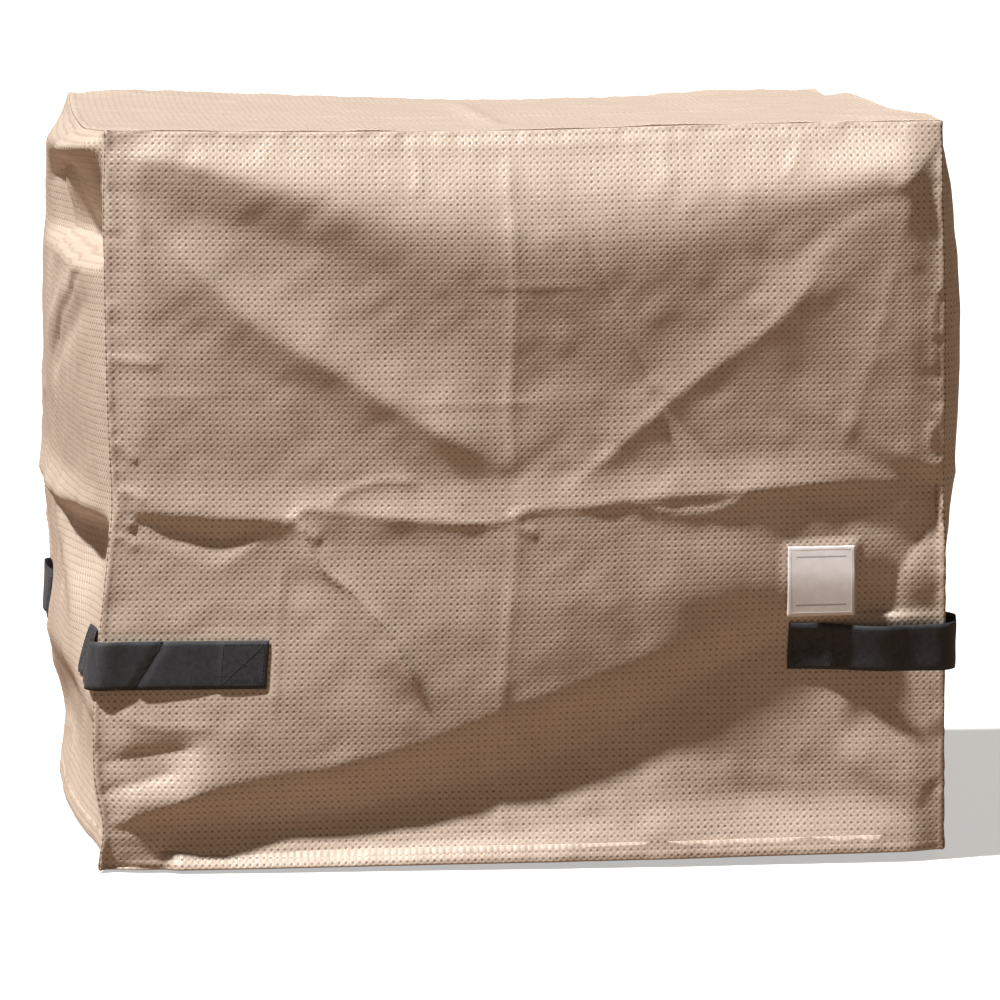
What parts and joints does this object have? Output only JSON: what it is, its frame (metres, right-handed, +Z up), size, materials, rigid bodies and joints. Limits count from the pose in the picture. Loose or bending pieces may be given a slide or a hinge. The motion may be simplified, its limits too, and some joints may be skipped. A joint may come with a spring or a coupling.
{
  "type": "air conditioner cover",
  "caption": "Fitted cloth cover for a square outdoor air conditioner unit: a box of sewn panels, open below, with a webbing strap over each lower corner.",
  "frame": {"origin": "middle of the underside of the top, where the unit's top carries the cover", "axes": "+Z up, -Y towards the front, which has the label, and +X to the right as seen from the front"},
  "size_m": [0.9323, 0.952, 0.7684],
  "materials": {
    "cloth": "matt tan laminated cloth, embossed with a lattice of small dimples",
    "webbing": "charcoal woven webbing, matt",
    "label": "white woven label, slightly silky"
  },
  "bodies": {
    "root": {"top_panel": "cloth", "front_panel": "cloth", "right_panel": "cloth", "back_panel": "cloth", "left_panel": "cloth", "front_left_strap": "webbing", "front_right_strap": "webbing", "back_left_strap": "webbing", "back_right_strap": "webbing", "label": "label"}
  },
  "joints": []
}
